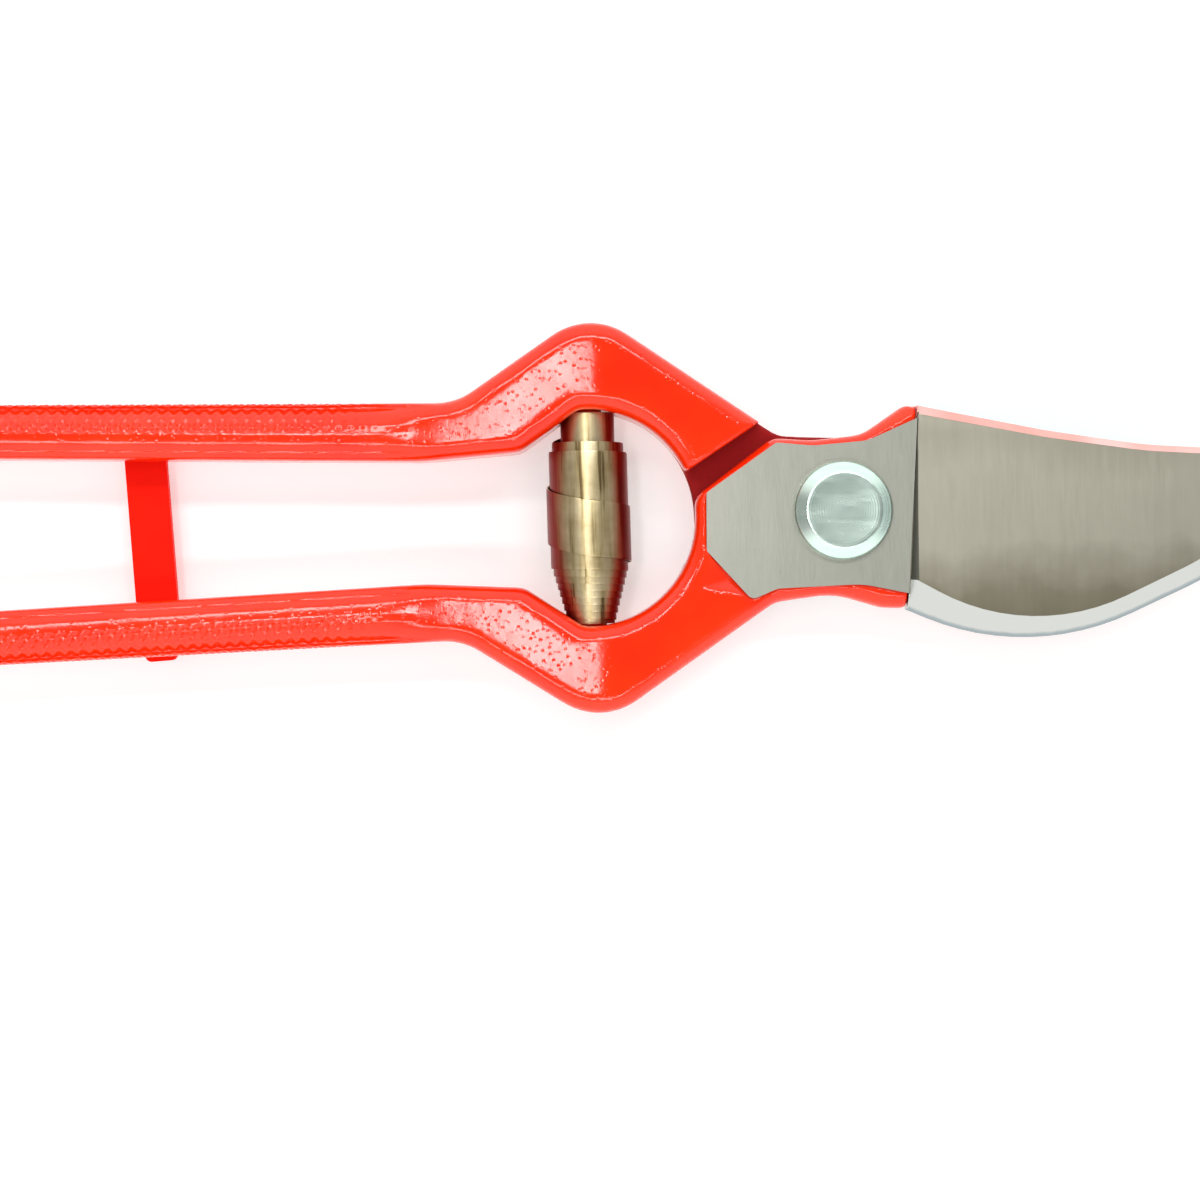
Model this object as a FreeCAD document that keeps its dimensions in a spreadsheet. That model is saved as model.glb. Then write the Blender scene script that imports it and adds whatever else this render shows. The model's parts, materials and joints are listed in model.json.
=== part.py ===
import FreeCAD, Part
import Sketcher
import math
import os

# Bypass pruning shears with two drop-forged halves, lying flat and latched shut.
#
# X runs along the tool towards the blade tip, Y across it and Z up out of its face. The origin is
# on the pivot axis, on the face of the pivot nut that the tool lies on. The two halves meet on a
# plane one stack of nut, washer and half thickness above that.
#
# Both halves are drawn the same way round: handle at +Y, and its own half of the thickness below
# the mating plane. The blade half is then turned over about the X axis, so its handle comes to -Y
# and its blade lies on top of the hook.

Vector = FreeCAD.Vector

DIMENSIONS = [
    # alias, millimetres or degrees, meaning
    ("running_gap", 0.025, "each half stands back from the mating plane by this"),
    ("forged_half", 5.0, "half thickness of the painted forging at the pivot"),
    ("ground_half", 5.5, "half thickness over the ground faces at the pivot"),
    ("grip_half", 5.5, "half thickness of a grip"),
    ("bulge_half", 7.2, "half thickness at the top of the bulge"),
    ("edge_round", 2.4, "rounding along the forged edges"),
    ("ring_radius", 15.57, "inside of the ring around the spring"),
    ("spring_x", 36.3, "pivot axis to spring axis"),
    ("seat_diameter", 8.2, "spot face for one end of the spring"),
    ("seat_start", 12.0, "tool axis to the start of the spot face cut"),
    ("peg_diameter", 4.4, "spring peg"),
    ("peg_reach", 3.0, "how far a peg stands into the spring"),
    ("peg_shank_diameter", 3.0, "pressed end of a peg"),
    ("peg_shank_length", 4.0, "pressed end of a peg"),
    ("spring_middle", 12.3, "largest diameter of the spring"),
    ("spring_tip", 7.0, "diameter of the spring at its ends"),
    ("spring_wall", 0.9, "wall that the spring's turns fill"),
    ("spring_clearance", 0.35, "spring end to its seat"),
    ("blade_root", 5.2, "thickness of the blade at the spine beside the step"),
    ("grind_across", 4.4, "slope of the ground blade face towards the cutting edge"),
    ("grind_along", 2.0, "slope of the ground blade face towards the tip"),
    ("edge_thickness", 0.35, "blade at its cutting edge"),
    ("bevel_angle", 57.0, "polished bevel along the cutting edge, from upright"),
    ("spine_slope", 1.2, "height of the painted slope along the spine"),
    ("spine_angle", 45.0, "that slope, from upright"),
    ("hook_slope", 1.7, "thinning of the hook towards its tip"),
    ("hook_edge", 3.6, "thickness of the hook before its outer slope starts"),
    ("hook_angle", 40.0, "slope round the outside of the hook, from upright"),
    ("back_pad_diameter", 19.0, "ground face under the washer"),
    ("bolt_diameter", 8.0, "pivot bolt, M8"),
    ("bore_clearance", 0.1, "on the diameter, in the half that turns"),
    ("fixed_clearance", 0.04, "on the diameter, where nothing turns"),
    ("head_diameter", 14.0, "pivot bolt head"),
    ("head_height", 3.0, "pivot bolt head"),
    ("head_slope", 1.6, "width of the slope round the bolt head"),
    ("head_edge", 1.6, "height of the bolt head at its rim"),
    ("head_gap", 0.05, "under the bolt head"),
    ("washer_diameter", 14.8, "M8 lock washer"),
    ("washer_thickness", 1.2, "M8 lock washer"),
    ("nut_width", 13.0, "across flats, M8"),
    ("nut_height", 4.0, "thin M8 nut"),
    ("bolt_recess", 0.0, "bolt end to nut face"),
    ("washer_split", 1.5, "gap in the lock washer"),
    ("catch_x", 101.4, "pivot axis to catch rivet, along the tool"),
    ("catch_y", 14.1, "pivot axis to catch rivet, across the tool"),
    ("catch_lean", 3.0, "angle of the catch to the Y axis"),
    ("catch_thickness", 1.6, "catch strap"),
    ("catch_gap", 0.1, "strap to handle, and strap to rivet head"),
    ("keeper_radius", 28.3, "rivet axis to keeper stud axis"),
    ("keeper_diameter", 3.0, "keeper stud where the catch hooks on"),
    ("keeper_play", 0.25, "stud to each side of the slot"),
    ("rivet_diameter", 3.5, "catch rivet"),
    ("rivet_depth", 6.0, "rivet and stud, inside the handle"),
    ("cap_diameter", 5.6, "heads of the rivet and the stud"),
    ("cap_height", 1.1, "heads of the rivet and the stud"),
    ("rounding_end", 8.5, "the forged edges are rounded up to here, just short of the step"),
    ("ring_ease", 0.05, "the ring's side arc is smaller by this, so that it stays inside its corner"),
    ("pad_root", 3.0, "mating plane to the start of a ground pad, inside the forging"),
    ("grind_depth", 8.0, "how far a grinding cut goes, past the plate on both sides"),
    ("cut_reach", 20.0, "a cut through the whole part starts this far out"),
]

# Corners of the outlines are (x, y, corner radius).
RING_CORNER = (-21.03, 15.57)
GRIP_OUTER = [(-156.0, 19.6, 3.6), (-55.0, 17.1, 9.0), (-35.4, 29.9, 9.5)]
RING_INNER = [(-37.4, 15.57, 2.4), (-45.9, 9.7, 2.9), (-60.0, 8.8, 20.0), (-156.0, 12.05, 3.6)]
SHOULDER_SIDE = [(-9.7, -10.8, 3.0), (-21.03, -2.6, 2.8)]

HOOK_BOSS = [(-8.6, 11.2, 5.0), (10.2, 10.2, 8.5), (10.2, -10.5, 8.0)]
BLADE_BOSS = [
    (-9.9, 12.9, 4.0), (-1.5, 11.9, 12.0), (5.4, 14.1, 3.0), (9.2, 14.3, 0.0),
    (11.3, -14.6, 0.0), (9.3, -14.9, 0.0), (3.2, -10.9, 6.0), (-4.0, -10.3, 10.0),
]
# The lap runs from the shoulder that faces the other half outwards over the whole boss.
RECESS = [
    (1.5, 21.3, 0.0), (-24.2, 4.95, 0.0), (-30.0, 4.95, 0.0), (-30.0, -40.0, 0.0), (40.0, -40.0, 0.0),
    (40.0, 21.3, 0.0),
]

BLADE_PAD = [
    (-9.2, -10.0, 1.0), (-19.4, -3.1, 0.6), (-19.6, 5.2, 0.6), (-13.3, 12.4, 1.2), (-9.6, 10.9, 3.0),
    (2.6, 10.6, 12.0), (9.2, 12.1, 0.0), (11.2, -13.0, 0.0), (3.8, -9.9, 6.0), (-4.0, -9.4, 8.0),
]
BLADE = [
    (9.0, 14.4, 0.0), (27.0, 22.4, 37.0), (57.5, 9.0, 45.0), (73.0, -6.2, 0.7), (44.1, -8.3, 60.0),
    (29.9, -10.7, 60.0), (13.0, -14.4, 4.0), (11.0, -14.9, 0.0),
]
# Tools that cut away what lies outside the blade or hook: a level face, and the long edges.
GROUND = [(0.0, -40.0, 0.0), (0.0, 40.0, 0.0), (80.0, 40.0, 0.0), (80.0, -40.0, 0.0)]
BEVEL = [
    (0.0, 10.4, 0.0), (27.0, 22.4, 37.0), (57.5, 9.0, 45.0), (88.5, -21.4, 0.0), (100.0, 60.0, 0.0),
    (0.0, 60.0, 0.0),
]
SPINE = [
    (0.0, -17.55, 0.0), (29.9, -11.0, 60.0), (44.1, -8.6, 60.0), (100.0, -4.54, 0.0),
    (100.0, -60.0, 0.0), (0.0, -60.0, 0.0),
]
HOOK_BACK = [
    (-10.0, -5.6, 0.0), (27.0, -21.9, 36.0), (57.3, -8.7, 44.0), (80.3, 13.7, 0.0), (100.0, -60.0, 0.0),
    (-10.0, -60.0, 0.0),
]
HOOK = [
    (0.0, -6.0, 0.0), (5.0, -11.8, 3.0), (27.0, -21.5, 36.0), (57.0, -8.3, 44.0), (68.6, 3.0, 0.8),
    (66.6, 3.9, 0.8), (54.5, -5.2, 36.0), (27.0, -15.5, 30.0), (10.3, -6.5, 3.0), (9.6, -2.0, 0.0),
]
STEP = (11.2, -14.4)
STEP_LEAN = 4.27
STRAP = [
    (-3.05, 3.6, 3.0), (3.05, 3.6, 3.0), (3.05, -24.6, 1.0), (4.4, -25.6, 0.8), (4.4, -30.6, 1.4),
    (2.3, -31.8, 0.5), (2.3, -33.1, 0.9), (-2.3, -33.1, 0.9), (-2.3, -31.8, 0.3), (-3.05, -31.2, 0.3),
]

doc = FreeCAD.newDocument("pruning_shears")


def fill_sheet():
    """The driving dimensions, one row each."""
    sheet = doc.addObject("Spreadsheet::Sheet", "dims")
    for row, (alias, value, meaning) in enumerate(DIMENSIONS, start=1):
        sheet.set("A%d" % row, meaning)
        sheet.set("B%d" % row, str(value))
        sheet.setAlias("B%d" % row, alias)
    doc.recompute()
    return sheet


SHEET = fill_sheet()


def size(alias):
    return float(SHEET.get(alias))


def rounded(corners):
    """A closed outline of lines with a tangent arc at each corner that has a radius."""
    count = len(corners)
    points = [Vector(x, y, 0) for x, y, radius in corners]
    arcs = []
    for index in range(count):
        here = points[index]
        back = (points[index - 1] - here).normalize()
        ahead = (points[(index + 1) % count] - here).normalize()
        radius = corners[index][2]
        half_angle = back.getAngle(ahead) / 2
        reach = radius / math.tan(half_angle)
        middle = here + (back + ahead).normalize() * (radius / math.sin(half_angle) - radius)
        arcs.append((here + back * reach, middle, here + ahead * reach))
    edges = []
    for index in range(count):
        start, middle, end = arcs[index]
        if corners[index][2] > 0:
            edges.append(Part.ArcOfCircle(start, middle, end))
        following = arcs[(index + 1) % count][0]
        if end.distanceToPoint(following) > 0.001:
            edges.append(Part.LineSegment(end, following))
    return edges


def circle(x, y, diameter):
    return [Part.Circle(Vector(x, y, 0), Vector(0, 0, 1), diameter / 2)]


def sketch(body, name, role, edges):
    """A sketch on one of the body's own origin planes."""
    item = body.newObject("Sketcher::SketchObject", name)
    plane = [part for part in body.Origin.OriginFeatures if part.Role == role][0]
    item.AttachmentSupport = [(plane, "")]
    item.MapMode = "FlatFace"
    item.addGeometry(edges, False)
    for index in range(len(edges)):
        item.addConstraint(Sketcher.Constraint("Block", index))
    return item


def lift(item, expression):
    """Moves a sketch along its own normal."""
    item.setExpression(".AttachmentOffset.Base.z", expression)


def extrude(body, kind, name, profile, length, reverse=False, both=False, taper=None):
    """A Pad or Pocket, checked to have changed the solid."""
    doc.recompute()
    before = body.Shape.Volume if body.Tip else 0.0
    item = body.newObject("PartDesign::" + kind, name)
    item.Profile = profile
    item.SideType = "Symmetric" if both else "One side"
    item.Reversed = reverse
    item.setExpression("Length", length)
    if taper:
        item.setExpression("TaperAngle", taper)
    doc.recompute()
    if abs(item.Shape.Volume - before) < 0.01:
        raise RuntimeError(name + " changes nothing")
    return item


def fillet(body, name, keep, radius):
    """Rounds the edges of the tip that pass the test keep(edge, faces)."""
    doc.recompute()
    base = body.Tip
    names = []
    for index, edge in enumerate(base.Shape.Edges, start=1):
        if keep(edge, base.Shape.ancestorsOfType(edge, Part.Face)):
            names.append("Edge%d" % index)
    item = body.newObject("PartDesign::Fillet", name)
    item.Base = (base, names)
    item.setExpression("Radius", radius)
    doc.recompute()
    return item


def revolve(body, name, profile, role):
    item = body.newObject("PartDesign::Revolution", name)
    item.Profile = profile
    axis = [part for part in body.Origin.OriginFeatures if part.Role == role][0]
    item.ReferenceAxis = (axis, [""])
    item.Angle = 360
    doc.recompute()
    return item


def slope_of(face):
    """How squarely a face looks up or down: 1 for level, 0 for upright."""
    first, last, low, high = face.ParameterRange
    return abs(face.normalAt((first + last) / 2, (low + high) / 2).z)


def is_rim(faces, least=0.85, most=1.1):
    """An edge between an upright wall and a face whose slope is within the limits."""
    slopes = sorted(slope_of(face) for face in faces)
    return len(slopes) == 2 and slopes[0] < 0.05 and least < slopes[1] < most


def new_body(label, turned=False):
    """A body on the pivot axis at the mating plane, turned over about X where asked."""
    body = doc.addObject("PartDesign::Body", label)
    body.Label = label
    if turned:
        body.Placement.Rotation = FreeCAD.Rotation(Vector(1, 0, 0), 180)
    body.setExpression(".Placement.Base.z", "dims.nut_height + dims.washer_thickness + dims.ground_half")
    return body


def bore(body, name, x, y, diameter, start, depth, upward):
    """A round hole along Z; it starts at a height and runs up or down from there."""
    mouth = sketch(body, name + "_mouth", "XY_Plane", circle(x, y, diameter))
    lift(mouth, start)
    return extrude(body, "Pocket", name, mouth, depth, reverse=upward)


def forging(label, boss, turned):
    """Handle, ring quarter and boss of one half, before its blade or hook is added."""
    body = new_body(label, turned)
    ring = [RING_CORNER + (size("ring_radius") - size("ring_ease"),)]
    outline = sketch(body, label + "_outline", "XY_Plane",
                     rounded(GRIP_OUTER + boss + SHOULDER_SIDE + ring + RING_INNER))
    extrude(body, "Pad", label + "_blank", outline, "2 * dims.bulge_half + 2", both=True)
    far = size("bulge_half") + 10
    surface = [
        (-170.0, size("grip_half"), 0.0), (-62.0, size("grip_half"), 40.0), (-34.0, size("bulge_half"), 12.0),
        (-11.0, size("forged_half"), 30.0), (40.0, size("forged_half"), 0.0),
    ]
    under = [(x, -z, radius) for x, z, radius in surface]
    regions = {
        "above": surface + [(40.0, far, 0.0), (-170.0, far, 0.0)],
        "below": under + [(40.0, -far, 0.0), (-170.0, -far, 0.0)],
    }
    for side, region in regions.items():
        profile = sketch(body, label + "_" + side, "XZ_Plane", rounded(region))
        extrude(body, "Pocket", label + "_relief_" + side, profile, "100", both=True)
    rounding_end = size("rounding_end")
    fillet(body, label + "_rounding",
           lambda edge, faces: is_rim(faces) and edge.CenterOfMass.x < rounding_end, "dims.edge_round")
    recess = sketch(body, label + "_recess", "XY_Plane", rounded(RECESS))
    lift(recess, "-dims.running_gap")
    extrude(body, "Pocket", label + "_lap", recess, "2 * dims.bulge_half", reverse=True)
    seat = sketch(body, label + "_seat", "XZ_Plane", circle(-size("spring_x"), 0, size("seat_diameter")))
    lift(seat, "-dims.seat_start")
    extrude(body, "Pocket", label + "_spot_face", seat, "dims.ring_radius - dims.seat_start")
    hole = sketch(body, label + "_peg", "XZ_Plane", circle(-size("spring_x"), 0, size("peg_shank_diameter")))
    lift(hole, "-dims.seat_start")
    extrude(body, "Pocket", label + "_peg_hole", hole,
            "dims.ring_radius - dims.seat_start + dims.peg_shank_length")
    return body


def own_side(body, name, outline, thickness, start="dims.running_gap"):
    """A plate on the half's own side of the mating plane, start below it and thickness deep."""
    profile = sketch(body, name + "_outline", "XY_Plane", outline)
    lift(profile, "-(%s)" % start)
    return extrude(body, "Pad", name, profile, thickness, reverse=True)


def grind(body, name, outline, start, place, turn, angle=None):
    """Grinds away what lies past a plane, inside an outline that widens at an angle."""
    plane = sketch(body, name + "_plane", "XY_Plane", rounded(outline))
    plane.AttachmentOffset = FreeCAD.Placement(place, turn)
    lift(plane, start)
    return extrude(body, "Pocket", name, plane, "dims.grind_depth", taper=angle)


def make_blade():
    """The blade alone: tapered to the cutting edge and the tip, with its bevel and sloped spine."""
    body = doc.addObject("PartDesign::Body", "blade_plate")
    own_side(body, "blade", rounded(BLADE), "dims.blade_root - dims.running_gap")
    level = FreeCAD.Rotation(0, 0, 0)
    along = FreeCAD.Rotation(0, -size("grind_along"), 0)
    both = FreeCAD.Rotation(STEP_LEAN, -size("grind_along"), size("grind_across"))
    grind(body, "ground_face", GROUND, "-dims.blade_root", Vector(STEP[0], STEP[1], 0), both)
    grind(body, "bevel", BEVEL, "-dims.edge_thickness", Vector(0, 0, 0), level, "dims.bevel_angle")
    grind(body, "spine", SPINE, "dims.spine_slope - dims.blade_root", Vector(0, 0, 0), along,
          "dims.spine_angle")
    return body


def make_hook():
    """The hook alone: thinner towards its tip, and sloped round the outside of its back."""
    body = doc.addObject("PartDesign::Body", "hook_plate")
    own_side(body, "hook", rounded(HOOK), "dims.forged_half - dims.running_gap")
    along = FreeCAD.Rotation(0, -size("hook_slope"), 0)
    grind(body, "hook_taper", GROUND, "-dims.forged_half", Vector(STEP[0], 0, 0), along)
    grind(body, "hook_back", HOOK_BACK, "-dims.hook_edge", Vector(0, 0, 0), along, "dims.hook_angle")
    return body


def weld(body, name, other):
    """Makes another body part of the same forging."""
    doc.recompute()
    joined = body.newObject("PartDesign::Boolean", name)
    joined.Type = "Fuse"
    joined.addObject(other)
    doc.recompute()
    return joined


def make_blade_half():
    """Front half: lower handle, ground boss face and the blade."""
    body = forging("blade_half", BLADE_BOSS, True)
    weld(body, "blade_joined", make_blade())
    own_side(body, "boss_pad", rounded(BLADE_PAD), "dims.ground_half - dims.pad_root", "dims.pad_root")
    level = sketch(body, "boss_face_outline", "XY_Plane", rounded(BLADE_PAD))
    lift(level, "-dims.ground_half")
    extrude(body, "Pocket", "boss_face", level, "dims.bulge_half")
    bore(body, "blade_bore", 0, 0, size("bolt_diameter") + size("bore_clearance"),
         "dims.cut_reach", "2 * dims.cut_reach", False)
    lean = math.radians(size("catch_lean"))
    stud_x = -size("catch_x") + size("keeper_radius") * math.sin(lean)
    stud_y = size("catch_y") - size("keeper_radius") * math.cos(lean)
    bore(body, "stud_hole", stud_x, -stud_y, size("keeper_diameter"),
         "dims.grip_half + 1", "dims.rivet_depth + 1", False)
    return body


def make_hook_half():
    """Back half: upper handle, boss and the hook that lies behind the closed blade."""
    body = forging("hook_half", HOOK_BOSS, False)
    weld(body, "hook_joined", make_hook())
    own_side(body, "back_pad", circle(0, 0, size("back_pad_diameter")),
             "dims.ground_half - dims.pad_root", "dims.pad_root")
    bore(body, "hook_bore", 0, 0, size("bolt_diameter") + size("fixed_clearance"),
         "dims.cut_reach", "2 * dims.cut_reach", False)
    bore(body, "rivet_hole", -size("catch_x"), size("catch_y"), size("rivet_diameter"),
         "-dims.grip_half - 1", "dims.rivet_depth + 1", True)
    return body


def make_pivot_bolt():
    """Round-headed M8 bolt, the hinge pin of the tool."""
    body = new_body("pivot_bolt")
    shank = size("bolt_diameter") / 2
    rim = size("head_diameter") / 2
    under = size("ground_half") + size("head_gap")
    top = under + size("head_height")
    end = size("bolt_recess") - size("ground_half") - size("washer_thickness") - size("nut_height")
    half_section = [
        (0, end, 0), (shank - 0.5, end, 0), (shank, end + 0.5, 0), (shank, under, 0), (rim, under, 0),
        (rim, under + size("head_edge"), 0.6), (rim - size("head_slope"), top, 0.8), (0, top, 0),
    ]
    profile = sketch(body, "bolt_section", "XZ_Plane", rounded(half_section))
    revolve(body, "bolt_turning", profile, "Z_Axis")
    return body


def make_lock_washer():
    """Split ring between the hook half and the nut."""
    body = new_body("lock_washer")
    ring = circle(0, 0, size("washer_diameter"))
    ring += circle(0, 0, size("bolt_diameter") + size("fixed_clearance"))
    own_side(body, "washer_ring", ring, "dims.washer_thickness", "dims.ground_half")
    half = size("washer_split") / 2
    reach = size("cut_reach")
    gap = [(0, -half, 0), (0, half, 0), (reach, half, 0), (reach, -half, 0)]
    slot = sketch(body, "washer_gap", "XY_Plane", rounded(gap))
    extrude(body, "Pocket", "washer_cut", slot, "dims.cut_reach")
    return body


def make_pivot_nut():
    """Thin hexagon nut on the back."""
    body = new_body("pivot_nut")
    corner = size("nut_width") / math.sqrt(3)
    turns = [math.radians(60 * index) for index in range(6)]
    hexagon = rounded([(corner * math.cos(turn), corner * math.sin(turn), 0) for turn in turns])
    hexagon += circle(0, 0, size("bolt_diameter") + size("fixed_clearance"))
    own_side(body, "nut_prism", hexagon, "dims.nut_height", "dims.ground_half + dims.washer_thickness")
    return body


def make_peg(label, turned):
    """Stud pressed into the ring; it holds one end of the spring."""
    body = new_body(label, turned)
    head = sketch(body, label + "_head", "XZ_Plane", circle(-size("spring_x"), 0, size("peg_diameter")))
    lift(head, "-dims.ring_radius")
    extrude(body, "Pad", label + "_stub", head, "dims.peg_reach")
    stem = sketch(body, label + "_stem", "XZ_Plane",
                  circle(-size("spring_x"), 0, size("peg_shank_diameter")))
    lift(stem, "-dims.ring_radius")
    extrude(body, "Pad", label + "_shank", stem, "dims.peg_shank_length", reverse=True)
    return body


def make_spring():
    """Outer shape of the double volute spring: a hollow barrel along Y between the pegs."""
    body = new_body("volute_spring")
    body.setExpression(".Placement.Base.x", "-dims.spring_x")
    wall = size("spring_wall")
    middle = size("spring_middle") / 2
    tip = size("spring_tip") / 2
    end = size("ring_radius") - size("spring_clearance")
    outer = [(tip, -end, 0), (middle, -2.5, 6.0), (middle, 2.5, 6.0), (tip, end, 0)]
    inner = [
        (tip - wall, end, 0), (middle - wall, 2.5, 5.0), (middle - wall, -2.5, 5.0), (tip - wall, -end, 0),
    ]
    profile = sketch(body, "spring_section", "XY_Plane", rounded(outer + inner))
    revolve(body, "spring_barrel", profile, "Y_Axis")
    return body


def make_catch():
    """Flat strap under the handles; its slot follows a circle about the rivet onto the stud."""
    body = new_body("catch_strap")
    body.Placement.Rotation = FreeCAD.Rotation(Vector(0, 0, 1), size("catch_lean"))
    body.setExpression(".Placement.Base.x", "-dims.catch_x")
    body.setExpression(".Placement.Base.y", "dims.catch_y")
    own_side(body, "strap", rounded(STRAP), "dims.catch_thickness", "dims.grip_half + dims.catch_gap")
    radius = size("keeper_radius")
    side = size("keeper_diameter") / 2 + size("keeper_play")
    low = radius + side
    high = radius - side
    sweep = math.radians(12)

    def on_circle(distance, angle):
        return Vector(-distance * math.sin(angle), -distance * math.cos(angle), 0)

    slot = [
        Part.ArcOfCircle(on_circle(low, sweep), on_circle(low, sweep / 2), on_circle(low, 0)),
        Part.ArcOfCircle(on_circle(low, 0), Vector(side, -radius, 0), on_circle(high, 0)),
        Part.ArcOfCircle(on_circle(high, 0), on_circle(high, sweep / 2), on_circle(high, sweep)),
        Part.LineSegment(on_circle(high, sweep), on_circle(low, sweep)),
    ]
    profile = sketch(body, "strap_slot", "XY_Plane", slot)
    extrude(body, "Pocket", "strap_hook", profile, "dims.cut_reach")
    bore(body, "strap_eye", 0, 0, size("rivet_diameter") + size("bore_clearance"),
         "0", "dims.cut_reach", False)
    return body


def make_headed_pin(label, x, y, diameter):
    """Rivet or stud driven into a handle from below, with a domed cap under the strap."""
    body = new_body(label)
    body.Placement.Base.x = x
    body.Placement.Base.y = y
    cap = size("cap_diameter") / 2
    top = size("rivet_depth") - size("grip_half")
    shoulder = -(size("grip_half") + size("catch_thickness") + 2 * size("catch_gap"))
    bottom = shoulder - size("cap_height")
    half_section = [
        (0, bottom, 0), (cap, bottom, 0.9), (cap, shoulder, 0), (diameter / 2, shoulder, 0),
        (diameter / 2, top, 0), (0, top, 0),
    ]
    profile = sketch(body, label + "_section", "XZ_Plane", rounded(half_section))
    revolve(body, label + "_turning", profile, "Z_Axis")
    return body


def make_catch_pins():
    lean = math.radians(size("catch_lean"))
    rivet_x = -size("catch_x")
    rivet_y = size("catch_y")
    stud_x = rivet_x + size("keeper_radius") * math.sin(lean)
    stud_y = rivet_y - size("keeper_radius") * math.cos(lean)
    rivet = make_headed_pin("catch_rivet", rivet_x, rivet_y, size("rivet_diameter"))
    stud = make_headed_pin("keeper_stud", stud_x, stud_y, size("keeper_diameter"))
    return [rivet, stud]


def check_objects():
    """Stops at any object that failed to build."""
    for item in doc.Objects:
        if "Invalid" in item.State or "Error" in item.State:
            raise RuntimeError(item.Name + " failed: " + ", ".join(item.State))


def export(bodies):
    os.makedirs("parts", exist_ok=True)
    for body in bodies:
        shape = body.Shape
        if shape.isNull() or not shape.isValid():
            raise RuntimeError(body.Label + " has no valid shape")
        print("%-18s %2d solid(s) %10.1f mm3" % (body.Label, len(shape.Solids), shape.Volume))
    for body in bodies:
        body.Shape.exportStep("parts/" + body.Label + ".step")


BODIES = [
    make_hook_half(), make_blade_half(), make_pivot_bolt(), make_lock_washer(), make_pivot_nut(),
    make_peg("spring_peg_upper", False), make_peg("spring_peg_lower", True), make_spring(), make_catch(),
]
BODIES += make_catch_pins()
doc.recompute()
check_objects()
export(BODIES)
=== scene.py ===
import math

import bmesh
import bpy
import numpy as np
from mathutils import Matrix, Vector
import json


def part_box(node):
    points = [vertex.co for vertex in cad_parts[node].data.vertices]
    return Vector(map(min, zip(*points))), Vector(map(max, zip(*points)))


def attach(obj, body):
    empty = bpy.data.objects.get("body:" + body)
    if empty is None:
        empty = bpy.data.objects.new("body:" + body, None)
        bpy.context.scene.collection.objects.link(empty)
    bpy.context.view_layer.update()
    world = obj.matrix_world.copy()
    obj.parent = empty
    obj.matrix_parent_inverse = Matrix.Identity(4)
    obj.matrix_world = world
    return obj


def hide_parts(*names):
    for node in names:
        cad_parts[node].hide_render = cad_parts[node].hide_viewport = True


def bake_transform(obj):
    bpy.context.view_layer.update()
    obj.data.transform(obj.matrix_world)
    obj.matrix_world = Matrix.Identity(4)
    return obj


# Pruning shears lying on a pale floor, seen from straight above. Everything is in metres in the
# part's own frame: +X towards the blade tip, +Y towards the hook half's handle, +Z up.

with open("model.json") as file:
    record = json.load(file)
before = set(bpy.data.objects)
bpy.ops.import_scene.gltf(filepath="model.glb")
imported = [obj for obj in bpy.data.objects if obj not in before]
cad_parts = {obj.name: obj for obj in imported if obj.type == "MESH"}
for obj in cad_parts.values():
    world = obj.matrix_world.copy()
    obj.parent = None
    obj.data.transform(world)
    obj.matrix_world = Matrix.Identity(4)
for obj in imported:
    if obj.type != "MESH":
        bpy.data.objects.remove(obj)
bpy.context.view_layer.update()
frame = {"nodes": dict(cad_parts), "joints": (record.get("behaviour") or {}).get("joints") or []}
MM = 0.001

NODES = frame["nodes"]
JOINTS = {joint["name"]: joint for joint in frame["joints"]}
PIVOT = Vector(JOINTS["pivot"]["pos_m"])
BOLT_LOW, BOLT_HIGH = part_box("pivot_bolt")
SPRING_LOW, SPRING_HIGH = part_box("volute_spring")
HOOK_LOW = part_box("hook_half")[0]

WELD_DISTANCE = 0.001 * MM
GRIP_START = HOOK_LOW.x         # far end of the grips
GRIP_END = PIVOT.x - 58 * MM    # where the worked faces of the grips stop
PAD_TOP = 5.5 * MM              # ground pads, above and below the mating plane
PAD_START = PIVOT.x - 21 * MM   # the pads lie between here and the step

# Where the blade's ground face begins, at its spine, and the level direction that the step there faces.
STEP_FOOT = Vector((PIVOT.x + 11.2 * MM, PIVOT.y + 14.4 * MM, 0))
STEP_SIDE = Vector((1, -0.0747, 0)).normalized()


# ---------------------------------------------------------------- shader helpers

def add(tree, kind, links=None, values=None, **settings):
    """A shader node with its settings, socket values and incoming links."""
    node = tree.nodes.new("ShaderNode" + kind)
    for key, value in settings.items():
        setattr(node, key, value)
    for key, value in (values or {}).items():
        node.inputs[key].default_value = value
    for key, source in (links or {}).items():
        tree.links.new(source, node.inputs[key])
    return node


def new_material(name, values):
    """A Principled material, with the places to build its texture: tree, shader and coordinates."""
    mat = bpy.data.materials.new(name)
    mat.use_nodes = True
    tree = mat.node_tree
    shader = tree.nodes["Principled BSDF"]
    for key, value in values.items():
        shader.inputs[key].default_value = value
    where = add(tree, "TexCoord").outputs["Object"]
    return mat, tree, shader, where


def stretched(tree, where, scale, turn=0.0):
    """Coordinates turned about Z and scaled separately along each axis."""
    return add(tree, "Mapping", {"Vector": where},
               {"Rotation": (0, 0, turn), "Scale": scale}).outputs["Vector"]


def noise(tree, where, scale, detail=3.0, roughness=0.5):
    """Cloudy values from 0 to 1."""
    return add(tree, "TexNoise", {"Vector": where},
               {"Scale": scale, "Detail": detail, "Roughness": roughness}).outputs["Fac"]


def ramp(tree, factor, stops):
    """A colour ramp; stops are (position, colour)."""
    node = add(tree, "ValToRGB", {"Fac": factor})
    band = node.color_ramp
    while len(band.elements) < len(stops):
        band.elements.new(0.5)
    for element, (position, colour) in zip(band.elements, stops):
        element.position = position
        element.color = colour if len(colour) == 4 else (*colour, 1)
    return node.outputs["Color"]


def grey(level):
    """The three channels of a neutral colour."""
    return level, level, level


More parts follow.
